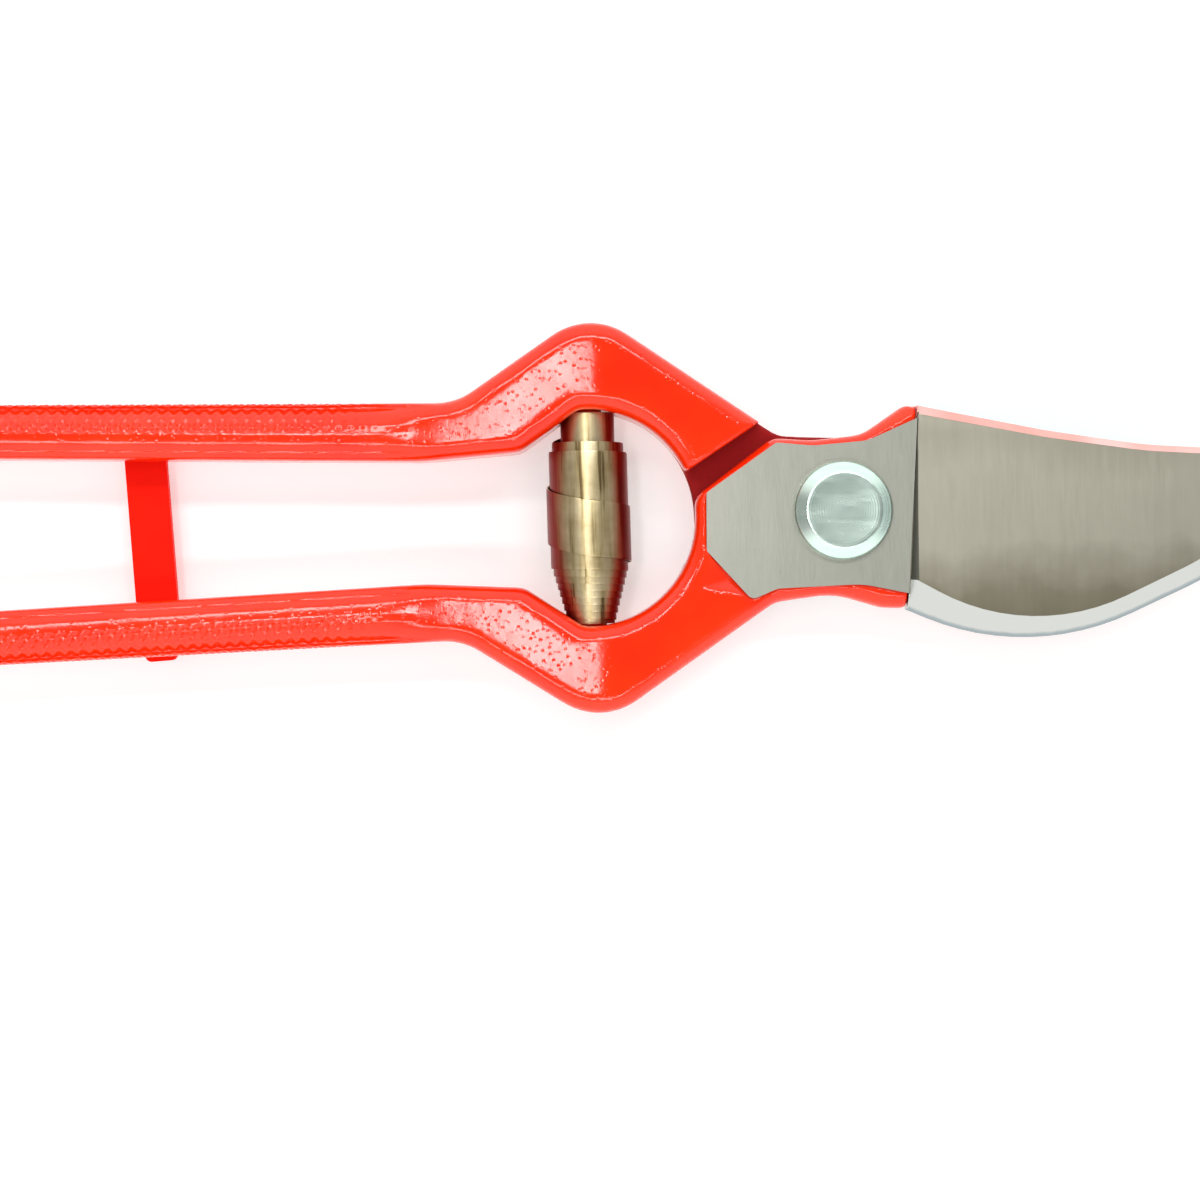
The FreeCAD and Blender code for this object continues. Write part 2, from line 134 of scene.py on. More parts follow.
def spread(tree, factor, low, high):
    """Maps a 0 to 1 value onto a range."""
    return add(tree, "MapRange", {"Value": factor}, {"To Min": low, "To Max": high}).outputs["Result"]


def share_of(tree, value, low, high):
    """How far a value lies from low to high, as 0 to 1."""
    return add(tree, "MapRange", {"Value": value}, {"From Min": low, "From Max": high}).outputs["Result"]


def along_axis(tree, vector, axis):
    """One component of a vector."""
    return add(tree, "SeparateXYZ", {"Vector": vector}).outputs[axis]


def calculated(tree, operation, *sources):
    """The result of a sum on one or two sources."""
    return add(tree, "Math", dict(enumerate(sources)), operation=operation).outputs["Value"]


def mixed(tree, links, values, **settings):
    """A colour mixed from A and B by Factor."""
    return add(tree, "Mix", links, values, data_type="RGBA", **settings).outputs["Result"]


def bump(tree, height, distance, strength=1.0, under=None):
    """A relief of the given depth, laid over an earlier one if there is one."""
    links = {"Height": height}
    if under:
        links["Normal"] = under
    return add(tree, "Bump", links, {"Distance": distance, "Strength": strength}).outputs["Normal"]


def wire(tree, shader, **sources):
    """Connects sources to the shader's sockets, named with underscores for spaces."""
    for key, source in sources.items():
        tree.links.new(source, shader.inputs[key.replace("_", " ")])


# ---------------------------------------------------------------- materials

# Dark red on the lap: partly grease where the halves rub, partly painted shade in the gap between them.
LAP_GRIME_AND_SHADE = (0.30, 0.001, 0.002, 1)
# Dark brown-red for the spring's flanks: a painted reflection of the red handles beside them.
FLANK_RED_REFLECTION = (0.20, 0.022, 0.014, 1)
BLADE_SPAN = (PIVOT.y - 20 * MM, PIVOT.y + 13 * MM)    # from the cutting edge to the spine
# Painted shading of the hollow-ground face: lighter along the spine, darker and browner towards the cutting
# edge.
BLADE_SHADING_TONES = [
    (0.05, (0.155, 0.135, 0.092)), (0.25, (0.22, 0.20, 0.145)), (0.45, (0.42, 0.40, 0.325)),
    (0.75, (0.47, 0.45, 0.365)), (0.95, (0.42, 0.40, 0.32)),
]
BEVEL_RISE = 2 * MM      # height over which the bevel's darker lowest band turns into bright polish
TABLE_GLOW = 0.33


def paint_material(name, deep, bright, peel, gloss, shine):
    """Thick glossy enamel: orange peel, small craters, uneven colour, and where it is marked a dark red that
    is partly grease on the lap and partly painted shade in the gap between the halves.
    """
    mat, tree, shader, where = new_material(name, {"IOR": 1.5, "Specular IOR Level": shine})
    cloud = noise(tree, where, 90, 2)
    colour = ramp(tree, cloud, [(0.3, deep), (0.7, bright)])
    grime_and_shade = add(tree, "Attribute", attribute_name="grime_and_shade").outputs["Fac"]
    # Where marked, the colour turns dark red: grease on the lap and painted shade in the gap between the
    # halves.
    dirty_and_shaded = mixed(tree, {"Factor": grime_and_shade, "A": colour}, {"B": LAP_GRIME_AND_SHADE})
    ripple = noise(tree, where, 480, 2, 0.4)
    crater = add(tree, "TexVoronoi", {"Vector": where}, {"Scale": 1300.0, "Randomness": 1.0})
    pits = ramp(tree, crater.outputs["Distance"], [(0.0, (0, 0, 0)), (0.34, (1, 1, 1))])
    soft = bump(tree, ripple, peel * 0.6)
    skin = bump(tree, pits, peel * 0.5, 1.0, soft)
    clean = spread(tree, noise(tree, where, 240, 3), gloss, gloss + 0.12)
    rough = add(tree, "Mix", {"Factor": grime_and_shade, "A": clean}, {"B": 0.9}, data_type="FLOAT")
    wire(tree, shader, Base_Color=dirty_and_shaded, Roughness=rough.outputs["Result"], Normal=skin)
    return mat


def steel_material(name, light, dark, rough, grain, turn):
    """Ground steel: fine parallel grain and blurred stains."""
    mat, tree, shader, where = new_material(name, {"Metallic": 1.0})
    lines = noise(tree, stretched(tree, where, (5200, 260, 2600), turn), 1.0, 4, 0.6)
    broad = noise(tree, stretched(tree, where, (420, 60, 200), turn), 1.0, 2)
    cloud = noise(tree, where, 70, 4, 0.6)
    tone = add(tree, "Mix", {"A": cloud, "B": broad}, {"Factor": 0.5}, data_type="FLOAT")
    colour = ramp(tree, tone.outputs["Result"], [(0.25, dark), (0.75, light)])
    wire(tree, shader, Base_Color=colour,
         Roughness=spread(tree, lines, rough - 0.07, rough + 0.09),
         Normal=bump(tree, lines, grain))
    return mat


def blade_material():
    """Ground blade face with slanting marks; lighter along the spine and darker and browner by the edge, as
    painted shading of its hollow grind.
    """
    mat, tree, shader, where = new_material("blade_steel", {"Metallic": 1.0})
    across = share_of(tree, along_axis(tree, where, "Y"), *BLADE_SPAN)
    warp = spread(tree, noise(tree, where, 55, 4, 0.6), -0.2, 0.2)
    colour = ramp(tree, calculated(tree, "ADD", across, warp), BLADE_SHADING_TONES)
    lines = noise(tree, stretched(tree, where, (3000, 160, 1500), 0.12), 1.0, 4, 0.65)
    marks = noise(tree, stretched(tree, where, (900, 60, 200), -0.5), 1.0, 3, 0.6)
    shade = ramp(tree, marks, [(0.3, grey(0.9)), (0.55, grey(1.0))])
    marked_and_shaded = mixed(tree, {"A": colour, "B": shade}, {"Factor": 0.5}, blend_type="MULTIPLY")
    wire(tree, shader, Base_Color=marked_and_shaded, Roughness=spread(tree, lines, 0.33, 0.41),
         Normal=bump(tree, lines, 0.003 * MM))
    return mat


def bevel_material():
    """Polished bevel: bright, with its lowest band along the cutting edge a little darker."""
    mat, tree, shader, where = new_material("bevel_steel", {"Metallic": 1.0})
    rise = share_of(tree, along_axis(tree, where, "Z"), PIVOT.z, PIVOT.z + BEVEL_RISE)
    ragged = spread(tree, noise(tree, where, 500, 3), -0.05, 0.05)
    place = calculated(tree, "ADD", rise, ragged)
    colour = ramp(tree, place, [(0.28, (0.27, 0.31, 0.32)), (0.42, (0.48, 0.49, 0.465))])
    lines = noise(tree, stretched(tree, where, (4000, 400, 400), 0.1), 1.0, 3)
    wire(tree, shader, Base_Color=colour, Roughness=spread(tree, lines, 0.14, 0.24),
         Normal=bump(tree, lines, 0.003 * MM))
    return mat


def zinc_material():
    """Bright bluish zinc plate with faint turning rings and a dull bloom."""
    mat, tree, shader, where = new_material("zinc", {"Metallic": 1.0})
    cloud = noise(tree, stretched(tree, where, (150, 700, 400)), 1.0, 3, 0.6)
    colour = ramp(tree, cloud, [(0.3, (0.58, 0.73, 0.65)), (0.7, (0.67, 0.81, 0.73))])
    rings = add(tree, "TexWave", {"Vector": where}, {"Scale": 900.0, "Distortion": 0.6, "Detail": 2.0},
                wave_type="RINGS", rings_direction="Z")
    wire(tree, shader, Base_Color=colour, Roughness=spread(tree, cloud, 0.2, 0.32),
         Normal=bump(tree, rings.outputs["Fac"], 0.004 * MM))
    return mat


def spring_material():
    """Tan tempered strip with long stains over its turns; its flanks are dark brown-red, a painted reflection
    of the red handles beside them.
    """
    mat, tree, shader, where = new_material("spring_steel", {"Metallic": 1.0})
    cloud = noise(tree, where, 170, 4, 0.6)
    colour = ramp(tree, cloud, [
        (0.25, (0.38, 0.30, 0.16)), (0.5, (0.60, 0.49, 0.29)), (0.8, (0.80, 0.70, 0.46)),
    ])
    stains = noise(tree, stretched(tree, where, (900, 45, 500)), 1.0, 3, 0.55)
    streak = ramp(tree, stains, [(0.36, (0.20, 0.15, 0.08)), (0.44, (0.75, 0.72, 0.6)), (0.6, (1, 1, 1))])
    banded = mixed(tree, {"A": colour, "B": streak}, {"Factor": 0.9}, blend_type="MULTIPLY")
    facing = along_axis(tree, add(tree, "TexCoord").outputs["Normal"], "X")
    flank_reflection = share_of(tree, calculated(tree, "ABSOLUTE", facing), 0.52, 0.82)
    sided = mixed(tree, {"Factor": flank_reflection, "A": banded}, {"B": FLANK_RED_REFLECTION})
    lines = noise(tree, stretched(tree, where, (500, 5000, 500)), 1.0, 3)
    wire(tree, shader, Base_Color=sided, Roughness=spread(tree, lines, 0.32, 0.44),
         Normal=bump(tree, lines, 0.006 * MM))
    return mat


def floor_material():
    """White table that glows a little with the opposite colour, so that the tool's red doesn't tint it."""
    mat, tree, shader, where = new_material("floor", {
        "Roughness": 0.9, "Specular IOR Level": 0.1,
        "Emission Color": (0.62, 1, 1, 1), "Emission Strength": TABLE_GLOW,
    })
    cloud = noise(tree, where, 3, 2)
    wire(tree, shader, Base_Color=ramp(tree, cloud, [(0.3, grey(0.84)), (0.7, grey(0.87))]))
    return mat


# ---------------------------------------------------------------- mesh helpers

def link(name, mesh, materials, body, slot, *replaced):
    """A new piece: its object, materials, body and the CAD nodes that it stands for; the record slot argument
    is not used.

    A piece without a body is left unattached.
    """
    obj = bpy.data.objects.new(name, mesh)
    bpy.context.scene.collection.objects.link(obj)
    for mat in materials:
        obj.data.materials.append(mat)
    if body:
        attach(obj, body)
    for node in replaced:
        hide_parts(node)
    return obj


def welded(node):
    """A CAD node's mesh as a closed bmesh, without the CAD file's own shading normals."""
    source = NODES[node].data
    bare = bpy.data.meshes.new(node + "_bare")
    bare.from_pydata([vert.co for vert in source.vertices], [], [face.vertices for face in source.polygons])
    bm = bmesh.new()
    bm.from_mesh(bare)
    bpy.data.meshes.remove(bare)
    bmesh.ops.remove_doubles(bm, verts=bm.verts, dist=WELD_DISTANCE)
    return bm


def keep_side(bm, point, normal):
    """Cuts away what lies on the normal's side of a plane, and closes the cut."""
    geometry = bm.verts[:] + bm.edges[:] + bm.faces[:]
    bmesh.ops.bisect_plane(bm, geom=geometry, plane_co=point, plane_no=normal, clear_outer=True)
    rims = [edge for edge in bm.edges if edge.is_boundary]
    bmesh.ops.holes_fill(bm, edges=rims, sides=0)
    bmesh.ops.triangulate(bm, faces=[face for face in bm.faces if len(face.verts) > 4])


def to_mesh(bm, name, sharp_from=None):
    """A smooth-shaded mesh, with creases at edges that turn by more than an angle in degrees."""
    mesh = bpy.data.meshes.new(name)
    bm.normal_update()
    bm.to_mesh(mesh)
    bm.free()
    mesh.polygons.foreach_set("use_smooth", [True] * len(mesh.polygons))
    if sharp_from:
        mesh.set_sharp_from_angle(angle=math.radians(sharp_from))
    return mesh


def skinned(name, rows, sharp_from):
    """A closed bar through rows of points, with capped ends."""
    bm = bmesh.new()
    rings = [[bm.verts.new(point) for point in row] for row in rows]
    for one, two in zip(rings, rings[1:]):
        for index in range(len(one)):
            after = (index + 1) % len(one)
            bm.faces.new((one[index], one[after], two[after], two[index]))
    bm.faces.new(rings[0])
    bm.faces.new(rings[-1][::-1])
    bmesh.ops.recalc_face_normals(bm, faces=bm.faces)
    return to_mesh(bm, name, sharp_from)


def soften_edges(obj, width, segments, angle):
    """A bevel modifier on the edges that turn by more than an angle in degrees."""
    edge = obj.modifiers.new("edge", "BEVEL")
    edge.width = width
    edge.segments = segments
    edge.limit_method = "ANGLE"
    edge.angle_limit = math.radians(angle)
    return edge


def remeshed(bm, voxel):
    """The closed skin of a bmesh as even small quads."""
    shell = bpy.data.objects.new("shell", to_mesh(bm, "shell"))
    bpy.context.scene.collection.objects.link(shell)
    skin = shell.modifiers.new("skin", "REMESH")
    skin.mode = "VOXEL"
    skin.voxel_size = voxel
    result = bmesh.new()
    result.from_object(shell, bpy.context.evaluated_depsgraph_get())
    bpy.data.objects.remove(shell)
    return result


def coordinates(bm):
    """The places of all vertices, one row for each."""
    return np.array([vert.co for vert in bm.verts])


def put_back(bm, points):
    """Moves the vertices to the rows of changed places."""
    for vert, point in zip(bm.verts, points):
        vert.co = point


def eased(value, low, high):
    """0 below low, 1 above high, and a smooth rise between."""
    share = np.clip((value - low) / (high - low), 0, 1)
    return share * share * (3 - 2 * share)


# ---------------------------------------------------------------- forged halves

SKIN_VOXEL = 0.41 * MM   # size of the quads on the painted halves
SKIN_SMOOTHINGS = 4
PAD_BED = 1.0 * MM       # depth of the painted forging under its separate pad
PAD_THICKNESS = 2.7 * MM

# Both edges of a grip taper towards its end: distance from the middle line at a place along X, and slope.
GRIP_INNER_EDGE = (8.8 * MM, PIVOT.x - 60 * MM, 0.0339)
GRIP_OUTER_EDGE = (17.1 * MM, PIVOT.x - 55 * MM, 0.02475)

# Section of a worked grip: how far its faces lie under the CAD's level ones, in mm, from inner to outer edge.
GRIP_SHARES = (0.0, 0.12, 0.17, 0.22, 0.44, 0.47, 0.61, 0.76, 1.0)
GRIP_DROPS = (0.50, 0.32, 0.62, 0.28, 0.02, 0.0, 0.18, 0.62, 1.75)

KNURL_SHARE = 0.46       # the knurling covers a grip from here to its outer edge
KNURL_LENGTH = 1.75 * MM
KNURL_WIDTH = 1.8 * MM
KNURL_DEPTH = 0.24 * MM
KNURL_STEEPNESS = 1.6
GRIP_RADIUS = 5.2 * MM   # turns an angle round the grip into a distance


def edge_distance(edge, x):
    """Distance of a grip's edge from the tool's middle line."""
    distance, place, slope = edge
    return distance - (x - place) * slope


def grip_share(x, across):
    """How far a point lies across its grip, from 0 at the inner edge to 1 at the outer."""
    inner = edge_distance(GRIP_INNER_EDGE, x)
    return (across - inner) / (edge_distance(GRIP_OUTER_EDGE, x) - inner)


def split_grip(bm, side):
    """Finer faces over the outer part of the grip, where the knurling is."""
    chosen = set()
    for face in bm.faces:
        point = face.calc_center_median()
        outer = grip_share(point.x, point.y * side) > KNURL_SHARE - 0.04
        if outer and GRIP_START + 3 * MM < point.x < GRIP_END - 2 * MM:
            chosen.update(face.edges)
    bmesh.ops.subdivide_edges(bm, edges=list(chosen), cuts=1, use_grid_fill=True)


def shape_grip(bm, side):
    """Works the grip: a sloping knurled outer face, a rib, a smooth band and a fine groove."""
    bm.normal_update()
    points = coordinates(bm)
    normals = np.array([vert.normal for vert in bm.verts])
    x = points[:, 0]
    across = points[:, 1] * side
    share = grip_share(x, across)
    height = points[:, 2] - PIVOT.z
    level = eased(np.abs(normals[:, 2]), 0.35, 0.8)
    before_ring = 1 - eased(x, GRIP_END - 9 * MM, GRIP_END + 1 * MM)
    from_end = eased(x, GRIP_START + 1 * MM, GRIP_START + 6 * MM)
    drop = np.interp(share, GRIP_SHARES, GRIP_DROPS) * MM * level * before_ring * from_end
    points[:, 2] -= np.sign(height) * drop
    points -= normals * knurling(x, across, height, share)[:, None]
    put_back(bm, points)


def knurling(x, across, height, share):
    """Depth of the diamonds pressed into the outer face of a grip."""
    middle = (edge_distance(GRIP_INNER_EDGE, x) + edge_distance(GRIP_OUTER_EDGE, x)) / 2
    girth = GRIP_RADIUS * np.arctan2(height, across - middle)
    waves = np.cos(2 * math.pi * x / KNURL_LENGTH) * np.cos(2 * math.pi * girth / KNURL_WIDTH)
    diamonds = np.clip(waves * KNURL_STEEPNESS, -1, 1)
    outer = eased(share, KNURL_SHARE, KNURL_SHARE + 0.06)
    before_ring = 1 - eased(x, GRIP_END - 22 * MM, GRIP_END - 6 * MM)
    from_end = eased(x, GRIP_START + 4 * MM, GRIP_START + 9 * MM)
    return KNURL_DEPTH * (0.5 - 0.5 * diamonds) * outer * before_ring * from_end


def pad_faces(bm, own):
    """The level ground faces of a boss; own is 1 for the half above the mating plane, -1 below."""
    bm.normal_update()
    height = PIVOT.z + own * PAD_TOP
    found = []
    for face in bm.faces:
        middle = face.calc_center_median()
        level = face.normal.z * own > 0.99
        if level and abs(middle.z - height) < 0.02 * MM and middle.x > PAD_START:
            found.append(face)
    return found


def painted_forging(node, side, body, cut_at, cut_side, paint):
    """Handle, ring quarter and boss of one half under thick paint, with its grip worked.

    The side is 1 for the handle at +Y and -1 for the one at -Y.
    """
    bm = welded(node)
    keep_side(bm, cut_at, cut_side)
    own = -side
    for vert in {vert for face in pad_faces(bm, own) for vert in face.verts}:
        vert.co.z -= own * PAD_BED
    bm = remeshed(bm, SKIN_VOXEL)
    every_axis = {"use_axis_x": True, "use_axis_y": True, "use_axis_z": True}
    for _ in range(SKIN_SMOOTHINGS):
        bmesh.ops.smooth_vert(bm, verts=bm.verts, factor=0.5, **every_axis)
    split_grip(bm, side)
    shape_grip(bm, side)
    mesh = to_mesh(bm, node + "_forging")
    mark_grime_and_shade(mesh)
    return link(node + "_forging", mesh, [paint], body, "red_paint", node)


def mark_grime_and_shade(mesh):
    """Grease on the lap, where the two halves rub, together with painted shade in the deep gap between them:
    1 on the mating plane, fading out above and below.
    """
    places = np.empty(len(mesh.vertices) * 3)
    mesh.vertices.foreach_get("co", places)
    places = places.reshape(-1, 3)
    off_plane = np.abs(places[:, 2] - PIVOT.z)
    on_lap = eased(places[:, 0], PAD_START - 3 * MM, PAD_START - 0.5 * MM)
    grime_and_shade = (1 - eased(off_plane, 0.3 * MM, 2.6 * MM)) * on_lap
    attribute = mesh.attributes.new("grime_and_shade", "FLOAT", "POINT")
    attribute.data.foreach_set("value", grime_and_shade.astype(np.float32))


def blade_piece(paint, spine, steel, polish):
    """The blade from the step outwards: ground face, polished bevel, and a spine whose sloping faces are thin
    paint coloured pale pink as a painted highlight.
    """
    bm = welded("blade_half")
    keep_side(bm, STEP_FOOT - STEP_SIDE * 0.04 * MM, -STEP_SIDE)
    flatten_ground(bm)
    painted, pale_sheen, ground, polished = range(4)
    for face in bm.faces:
        middle = face.calc_center_median()
        height = face.normal.z
        on_spine = middle.y > 2 * MM + middle.x * 0.06
        if abs(height) > 0.97:
            face.material_index = ground
        elif on_spine:
            face.material_index = pale_sheen if height > 0.35 else painted
        else:
            face.material_index = polished
    mesh = to_mesh(bm, "blade")
    for face in mesh.polygons:
        face.use_smooth = face.material_index != ground
    mesh.set_sharp_from_angle(angle=math.radians(24))
    return link("blade", mesh, [paint, spine, steel, polish], "blade_body", "ground_steel")


def flatten_ground(bm):
    """Puts the ground face's corners exactly on its plane, so that it shines evenly."""
    bm.normal_update()
    upward = [face for face in bm.faces if face.normal.z > 0.97]
    ground = [face for face in upward if face.calc_center_median().x > STEP_FOOT.x]
    largest = max(ground, key=lambda face: face.calc_area())
    level = [face for face in ground if face.normal.dot(largest.normal) > 0.9995]
    normal = sum((face.normal * face.calc_area() for face in level), Vector()).normalized()
    anchor = sum((face.calc_center_median() * face.calc_area() for face in level), Vector())
    anchor = anchor / sum(face.calc_area() for face in level)
    for vert in {vert for face in ground for vert in face.verts}:
        vert.co.z = anchor.z - ((vert.co - anchor).xy.dot(normal.xy)) / normal.z
    bm.normal_update()


# Hollow at the foot of the step: its run down from the spine, its radius there and what that gains.
FILLET_START = 0.6 * MM
FILLET_RUN = 24.0 * MM
FILLET_RADIUS = 0.22 * MM
FILLET_GROWTH = 1.35 * MM
FILLET_ROWS = 40
FILLET_FACETS = 8

GROUND_TOP = 5.2 * MM    # ground blade face above the mating plane, at the foot of the step
GROUND_ACROSS = 4.4      # its fall towards the cutting edge, in degrees
GROUND_ALONG = 2.0       # its fall towards the tip, in degrees


def step_fillet(steel):
    """Hollow left by the grinding wheel at the foot of the step, wider towards the cutting edge; its dark
    steel is painted shade at the foot of the step.
    """
    along = Vector((-STEP_SIDE.y, STEP_SIDE.x, 0))
    rows = []
    for index in range(FILLET_ROWS + 1):
        share = index / FILLET_ROWS
        foot = STEP_FOOT - along * (FILLET_START + FILLET_RUN * share) - STEP_SIDE * 0.03 * MM
        foot.z = ground_height(foot) - 0.02 * MM
        radius = FILLET_RADIUS + FILLET_GROWTH * share ** 1.3
        row = [foot - Vector((0, 0, 0.03 * MM))]
        for turn in range(FILLET_FACETS + 1):
            angle = math.radians(90 * turn / FILLET_FACETS)
            climb = Vector((0, 0, radius * (1 - math.sin(angle))))
            row.append(foot + STEP_SIDE * radius * (1 - math.cos(angle)) + climb)
        rows.append(row)
    return link("step_fillet", skinned("step_fillet", rows, 30), [steel], "blade_body", "ground_steel")


def ground_height(point):
    """Height of the ground blade face, from the slopes of the grinding plane."""
    across = (STEP_FOOT.y - point.y) * math.tan(math.radians(GROUND_ACROSS))
    along = (point.x - STEP_FOOT.x) * math.tan(math.radians(GROUND_ALONG))
    return PIVOT.z + GROUND_TOP - across - along


# The painted half and the separate hook overlap between these two places, so that no gap shows.
HOOK_FROM = PIVOT.x + 9.6 * MM
HOOK_PAINTED_TO = PIVOT.x + 11.5 * MM


def hook_piece(paint, steel):
    """The hook behind the blade: painted back, ground face and ground inner edge."""
    bm = welded("hook_half")
    keep_side(bm, Vector((HOOK_FROM, 0, 0)), Vector((-1, 0, 0)))
    bm.normal_update()
    for face in bm.faces:
        faces_blade = face.normal.z > 0.9
        inner = face.normal.y > 0.3 and abs(face.normal.z) < 0.3
        face.material_index = 1 if faces_blade or inner else 0
    mesh = to_mesh(bm, "hook", 24)
    return link("hook", mesh, [paint, steel], "hook_body", "ground_steel")


def pad_piece(node, name, own, body, steel):
    """The raised ground face of a boss: the CAD's own face, given depth."""
    bm = welded(node)
    kept = set(pad_faces(bm, own))
    bmesh.ops.delete(bm, geom=[face for face in bm.faces if face not in kept], context="FACES")
    made = bmesh.ops.extrude_face_region(bm, geom=bm.faces[:])
    lowered = [item for item in made["geom"] if isinstance(item, bmesh.types.BMVert)]
    bmesh.ops.translate(bm, verts=lowered, vec=(0, 0, -own * PAD_THICKNESS))
    bmesh.ops.recalc_face_normals(bm, faces=bm.faces)
    obj = link(name, to_mesh(bm, name, 30), [steel], body, "ground_steel")
    soften_edges(obj, 0.12 * MM, 2, 50)


# ---------------------------------------------------------------- turned parts, spring, catch

def lathe(name, profile, centre, sharp_from, turns=96):
    """A closed turned solid about a vertical axis; profile is (radius, height) from axis to axis."""
    bm = bmesh.new()
    angles = [2 * math.pi * index / turns for index in range(turns)]
    rings = []
    for radius, height in profile:
        spots = angles if radius > 0 else [0]
        rings.append([bm.verts.new((centre.x + radius * math.cos(a), centre.y + radius * math.sin(a), height))
                      for a in spots])
    for low, high in zip(rings, rings[1:]):
        for index in range(turns):
            after = (index + 1) % turns
            corners = [low[index % len(low)], low[after % len(low)]]
            corners += [high[after % len(high)], high[index % len(high)]]
            bm.faces.new(list(dict.fromkeys(corners)))
    bmesh.ops.recalc_face_normals(bm, faces=bm.faces)
    return to_mesh(bm, name, sharp_from)


def arc(centre_r, centre_z, radius, start, end, count=6):
    """Points of a profile along an arc, in degrees from outwards, anticlockwise."""
    angles = [math.radians(start + (end - start) * index / count) for index in range(count + 1)]
    return [(centre_r + radius * math.cos(a), centre_z + radius * math.sin(a)) for a in angles]


SHANK_RADIUS = 4.0 * MM
SHANK_CHAMFER = 0.5 * MM
RIM_ROUNDING = 0.9 * MM  # of the ring round the bolt's head
FACE_RADIUS = 5.25 * MM  # of the flat top inside that ring
FACE_ROUNDING = 0.42 * MM
FACE_DISH = 0.05 * MM


def pivot_bolt(zinc):
    """Bolt with a flat-topped head and a rounded ring round it."""
    bottom = BOLT_LOW.z
    top = BOLT_HIGH.z
    rim = (BOLT_HIGH.x - BOLT_LOW.x) / 2
    under = PIVOT.z + PAD_TOP + 0.05 * MM
    profile = [(0, bottom), (SHANK_RADIUS - SHANK_CHAMFER, bottom)]
    profile += [(SHANK_RADIUS, bottom + SHANK_CHAMFER), (SHANK_RADIUS, under)]
    profile += [(rim - 0.15 * MM, under)]
    profile += arc(rim - RIM_ROUNDING, under + 1.15 * MM, RIM_ROUNDING, -35, 62)
    profile += arc(FACE_RADIUS, top - FACE_ROUNDING, FACE_ROUNDING, 40, 90, 4)
    profile += [(4.7 * MM, top - 0.03 * MM), (2.5 * MM, top - FACE_DISH), (0, top - FACE_DISH)]
    mesh = lathe("pivot_bolt_turned", profile, PIVOT, 35)
    return link("pivot_bolt_turned", mesh, [zinc], "hook_body", "zinc_plate", "pivot_bolt")


# Along the spring's strip, by turns: middle height over the spring's centre, and outside radius, in mm.
SPRING_TURNS = (0.0, 0.9, 1.4, 1.9, 2.4, 2.9, 3.4, 3.65, 3.9, 4.4, 4.9, 12.4, 13.3)
SPRING_PLACES = (11.2, 11.2, 7.1, 6.8, 5.8, 5.4, 0.6, -1.5, -2.4, -3.1, -3.7, -11.2, -11.2)
SPRING_RADII = (3.6, 4.0, 5.1, 5.25, 5.6, 5.75, 6.08, 6.1, 6.0, 5.7, 5.5, 3.45, 3.25)
SPRING_SEAM = 3.4        # the turn whose upper edge shows at the left of the barrel
SPRING_FACETS = 72       # round each turn
STRIP_WIDTH = 8.0 * MM
STRIP_THICKNESS = 0.24 * MM
STRIP_CROWN = 0.05 * MM  # by which the strip's long edges are rounded off


def volute_spring(steel):
    """Double volute: one flat strip wound so that each end tucks into the wide middle turns."""
    centre = (SPRING_LOW + SPRING_HIGH) / 2
    outside = ((-0.5, -STRIP_CROWN), (-0.46, 0), (0.46, 0), (0.5, -STRIP_CROWN))
    section = outside + ((0.5, -STRIP_THICKNESS), (-0.5, -STRIP_THICKNESS))
    steps = int(SPRING_TURNS[-1] * SPRING_FACETS)
    rows = []
    for index in range(steps + 1):
        turn = SPRING_TURNS[-1] * index / steps
        angle = math.pi - 2 * math.pi * (turn - SPRING_SEAM)
        middle = np.interp(turn, SPRING_TURNS, SPRING_PLACES) * MM
        radius = np.interp(turn, SPRING_TURNS, SPRING_RADII) * MM
        row = []
        for across, depth in section:
            reach = radius + depth
            x = centre.x + reach * math.cos(angle)
            z = centre.z + reach * math.sin(angle)
            row.append((x, centre.y + middle + STRIP_WIDTH * across, z))
        rows.append(row)
    mesh = skinned("volute_strip", rows, 30)
    obj = link("volute_strip", mesh, [steel], None, "spring_steel", "volute_spring")
    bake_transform(obj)


def dress_node(node, mat, width):
    """Better material and softened edges on a CAD node that keeps its own shape."""
    obj = NODES[node]
    obj.data.materials.clear()
    obj.data.materials.append(mat)
    weld = obj.modifiers.new("weld", "WELD")
    weld.merge_threshold = WELD_DISTANCE
    edge = soften_edges(obj, width, 3, 40)
    edge.harden_normals = True


# ---------------------------------------------------------------- stage, light, camera

FLOOR_REACH = 1.5
FLOOR_GAP = 0.0005       # keeps the floor clear of the tool's lowest faces
WORLD_STRENGTH = 1.5

# Lights: name, size, place, the point that it faces and its power in watts.
LIGHTS = (
    ("softbox", (0.075, 0.30), (-0.187, 0.03, PIVOT.z + 1.0), (-0.187, 0.03, 0), 1.4),
    ("strip_upper", (1.0, 0.10), (-0.05, 0.45, 1.1), (-0.05, 0, 0), 4.4),
    ("strip_lower", (1.0, 0.10), (-0.05, -0.45, 1.1), (-0.05, 0, 0), 2.8),
)


def area_light(name, size, place, target, power):
    """A rectangular soft light that faces a point."""
    data = bpy.data.lights.new(name, "AREA")
    data.shape = "RECTANGLE"
    data.size, data.size_y = size
    data.energy = power
    lamp = bpy.data.objects.new(name, data)
    lamp.location = place
    lamp.rotation_euler = (Vector(target) - Vector(place)).to_track_quat("-Z", "Y").to_euler()
    bpy.context.scene.collection.objects.link(lamp)


def stage():
    """The table with its lights over it."""
    floor_bm = bmesh.new()
    bmesh.ops.create_grid(floor_bm, x_segments=8, y_segments=8, size=FLOOR_REACH)
    floor = bpy.data.objects.new("floor", to_mesh(floor_bm, "floor"))
    floor.data.materials.append(floor_material())
    floor.location.z = -FLOOR_GAP
    bpy.context.scene.collection.objects.link(floor)
    studio_world()
    for light in LIGHTS:
        area_light(*light)


